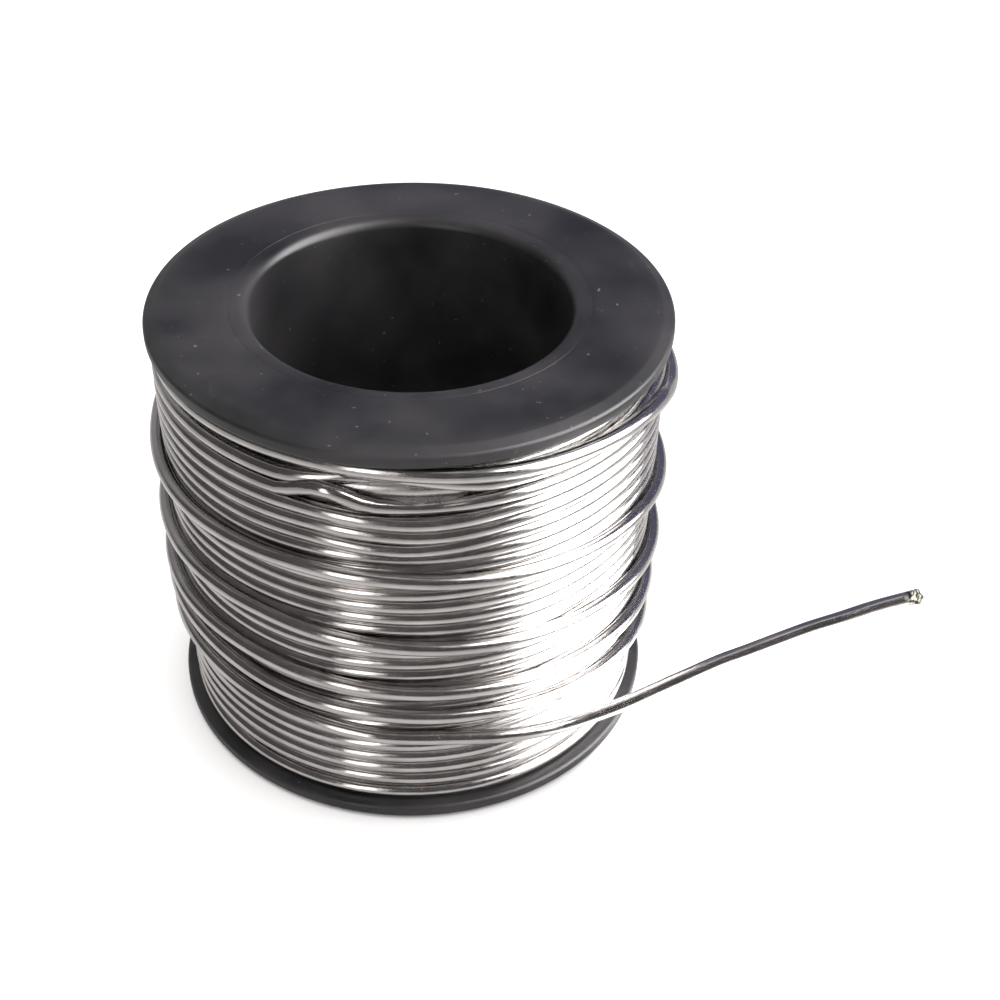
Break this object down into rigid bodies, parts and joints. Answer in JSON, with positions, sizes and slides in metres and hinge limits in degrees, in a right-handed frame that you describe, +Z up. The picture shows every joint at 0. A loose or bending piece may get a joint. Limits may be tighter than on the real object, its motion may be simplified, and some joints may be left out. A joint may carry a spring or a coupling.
{
  "type": "solder wire spool",
  "caption": "Small open-barrelled plastic reel wound with bright flux-cored solder wire, with loose outer turns and a short free end.",
  "frame": {"origin": "centre of the lower flange's underside, on the surface that the reel stands on", "axes": "+Z up along the reel's axis, towards the upper flange; the free end leaves on the -Y side and runs towards +X"},
  "size_m": [0.0535, 0.0362, 0.0317],
  "materials": {
    "reel_plastic": "satin moulded polystyrene",
    "solder_bright": "bright drawn tin-lead wire",
    "solder_inner": "slightly dulled tin-lead wire",
    "flux": "amber rosin"
  },
  "bodies": {
    "root": {"upper_flange": "reel_plastic", "lower_flange": "reel_plastic", "barrel": "reel_plastic", "winding_layer_1": "solder_inner", "winding_layer_2": "solder_inner", "winding_layer_3": "solder_inner", "winding_layer_4": "solder_inner", "winding_layer_5": "solder_inner", "winding_layer_6": "solder_bright", "loose_turns": "solder_bright", "free_end": "solder_bright", "flux_core": "flux", "wire_start": "solder_inner"}
  },
  "joints": []
}
